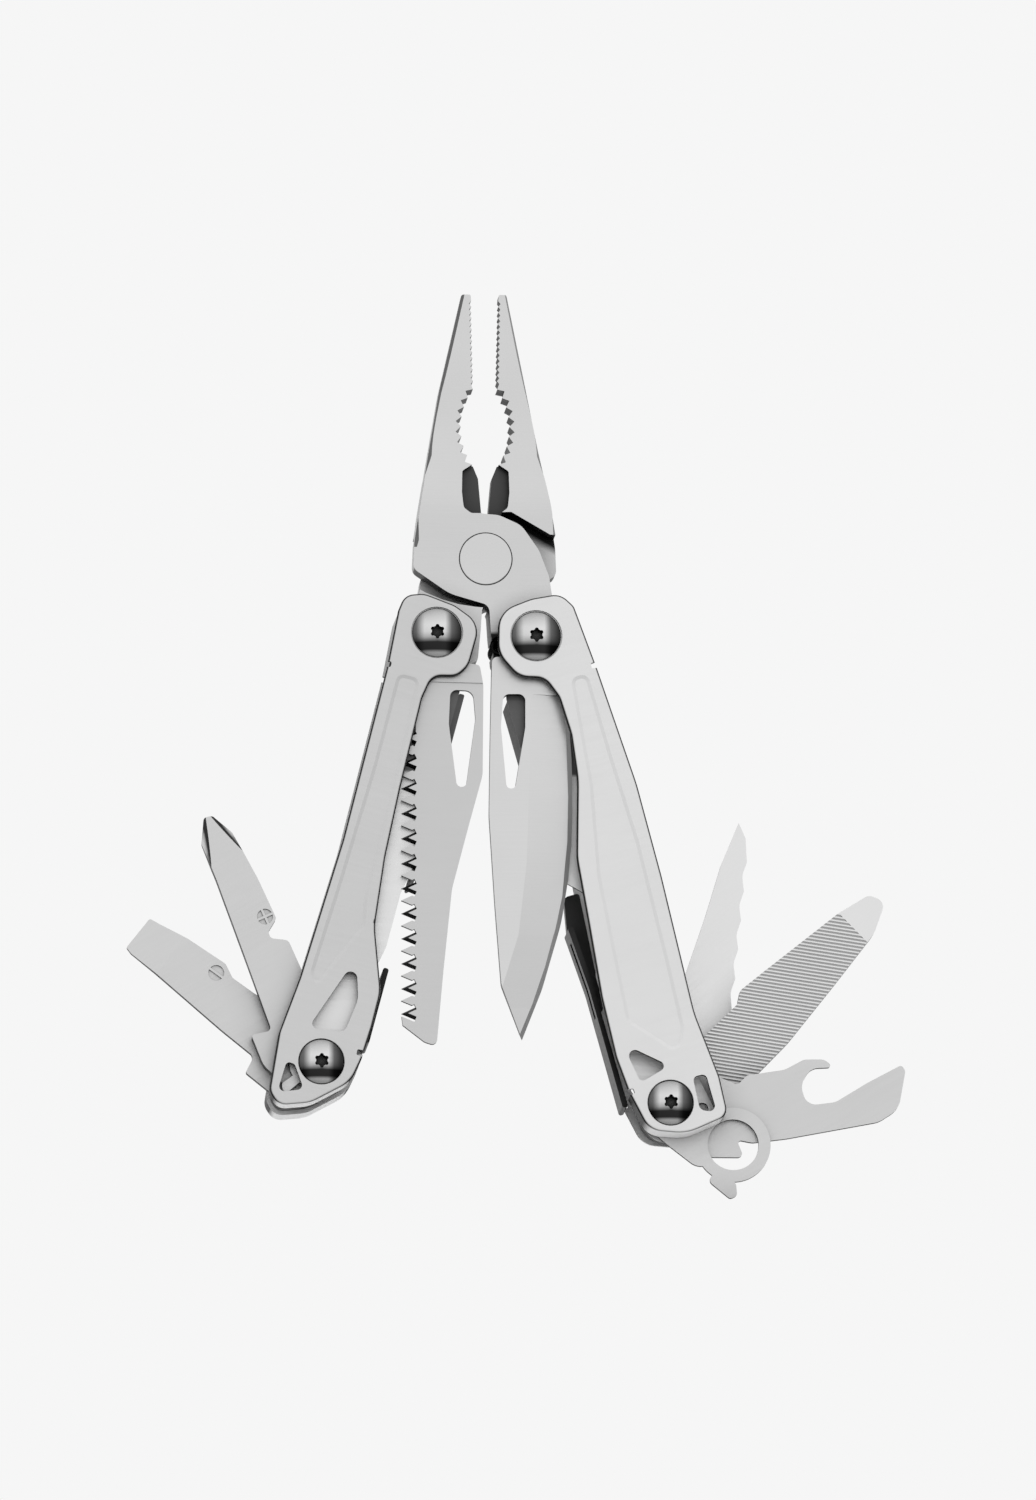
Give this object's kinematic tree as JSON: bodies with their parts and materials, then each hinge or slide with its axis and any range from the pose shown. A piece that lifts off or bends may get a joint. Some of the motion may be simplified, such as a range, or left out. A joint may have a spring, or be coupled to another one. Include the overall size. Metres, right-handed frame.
{
  "type": "folding multi tool",
  "caption": "Folding pocket multi tool in brushed steel, plier open, with saw, knife, drivers, file, serrated blade, bottle opener, lanyard ring and pocket clip.",
  "frame": {"origin": "middle of the plier rivet's flat front face, on the plier pivot axis", "axes": "+Z from the plier pivot towards the jaw tips; -Y is the front face with the stamped panels; +X towards the knife handle"},
  "size_m": [0.1371, 0.0212, 0.1618],
  "materials": {
    "jaw_steel": "horizontally brushed satin",
    "rivet_steel": "turned and flush ground",
    "spring_steel": "polished spring steel",
    "plate_steel": "fine bead-blasted satin",
    "liner_steel": "satin",
    "axle_steel": "turned",
    "polished_screw": "mirror polished",
    "clip_steel": "satin",
    "blade_steel": "satin ground",
    "tool_steel": "satin"
  },
  "bodies": {
    "front_jaw": {"front_jaw": "jaw_steel", "jaw_rivet": "rivet_steel", "jaw_spring": "spring_steel"},
    "rear_jaw": {"rear_jaw": "jaw_steel"},
    "left_handle": {"left_front_plate": "plate_steel", "left_back_plate": "plate_steel", "left_liner": "liner_steel", "left_spine": "liner_steel", "left_back_spring": "spring_steel", "left_upper_axle": "axle_steel", "left_lower_axle": "axle_steel", "left_upper_screws": "polished_screw", "left_lower_screws": "polished_screw", "left_upper_washers": "axle_steel", "left_lower_washers": "axle_steel", "pocket_clip": "clip_steel", "clip_screws": "polished_screw"},
    "right_handle": {"right_front_plate": "plate_steel", "right_back_plate": "plate_steel", "right_liner": "liner_steel", "right_spine": "liner_steel", "right_back_spring": "spring_steel", "right_upper_axle": "axle_steel", "right_lower_axle": "axle_steel", "right_upper_screws": "polished_screw", "right_lower_screws": "polished_screw", "right_upper_washers": "axle_steel", "right_lower_washers": "axle_steel"},
    "left_lock": {"left_lock_tongue": "liner_steel"},
    "right_lock": {"right_lock_tongue": "liner_steel"},
    "saw": {"saw_blade": "blade_steel"},
    "knife": {"knife_blade": "blade_steel"},
    "phillips": {"phillips_driver": "tool_steel"},
    "flat_driver": {"flat_driver": "tool_steel"},
    "small_driver": {"small_driver": "tool_steel"},
    "lanyard_ring": {"lanyard_ring": "tool_steel"},
    "bottle_opener": {"bottle_opener": "tool_steel"},
    "wood_file": {"wood_file": "tool_steel"},
    "serrated": {"serrated_blade": "blade_steel"}
  },
  "joints": [
    {"name": "jaw_close", "type": "hinge", "parent": "front_jaw", "child": "rear_jaw", "pos_m": [0, 0.0047, 0], "axis": [0, 1, 0], "range_deg": [-5.8, 13]},
    {"name": "handle_left_fold", "type": "hinge", "parent": "rear_jaw", "child": "left_handle", "pos_m": [-0.009, 0, -0.0144], "axis": [0, -1, 0], "range_deg": [-167, 0]},
    {"name": "handle_right_fold", "type": "hinge", "parent": "front_jaw", "child": "right_handle", "pos_m": [0.0085, 0, -0.0148], "axis": [0, 1, 0], "range_deg": [-165.9, 0]},
    {"name": "saw_fold", "type": "hinge", "parent": "left_handle", "child": "saw", "pos_m": [-0.009, 0, -0.0144], "axis": [0, -1, 0], "range_deg": [-13.3, 12]},
    {"name": "knife_fold", "type": "hinge", "parent": "right_handle", "child": "knife", "pos_m": [0.0085, 0, -0.0148], "axis": [0, 1, 0], "range_deg": [-17.9, 12]},
    {"name": "left_lock_flex", "type": "hinge", "parent": "left_handle", "child": "left_lock", "pos_m": [-0.02191, -0.0029, -0.04916], "axis": [0.9668, 0, -0.2554], "range_deg": [0, 2]},
    {"name": "right_lock_flex", "type": "hinge", "parent": "right_handle", "child": "right_lock", "pos_m": [0.02207, -0.0009, -0.0493], "axis": [0.9617, 0, 0.274], "range_deg": [0, 3]},
    {"name": "phillips_swing", "type": "hinge", "parent": "left_handle", "child": "phillips", "pos_m": [-0.02926, 0, -0.09107], "axis": [0, -1, 0], "range_deg": [-39.7, 140.3]},
    {"name": "flat_driver_swing", "type": "hinge", "parent": "left_handle", "child": "flat_driver", "pos_m": [-0.02926, 0, -0.09107], "axis": [0, -1, 0], "range_deg": [-69.2, 110.8]},
    {"name": "small_driver_swing", "type": "hinge", "parent": "left_handle", "child": "small_driver", "pos_m": [-0.02926, 0, -0.09107], "axis": [0, -1, 0], "range_deg": [0, 176]},
    {"name": "bottle_opener_swing", "type": "hinge", "parent": "right_handle", "child": "bottle_opener", "pos_m": [0.03211, 0, -0.0977], "axis": [0, 1, 0], "range_deg": [-98.4, 76]},
    {"name": "file_swing", "type": "hinge", "parent": "right_handle", "child": "wood_file", "pos_m": [0.03211, 0, -0.0977], "axis": [0, 1, 0], "range_deg": [-64.1, 118]},
    {"name": "lanyard_ring_swing", "type": "hinge", "parent": "right_handle", "child": "lanyard_ring", "pos_m": [0.03211, 0, -0.0977], "axis": [0, 1, 0], "range_deg": [-141.9, 20]},
    {"name": "serrated_swing", "type": "hinge", "parent": "right_handle", "child": "serrated", "pos_m": [0.03211, 0, -0.0977], "axis": [0, 1, 0], "range_deg": [-31.3, 150]}
  ]
}
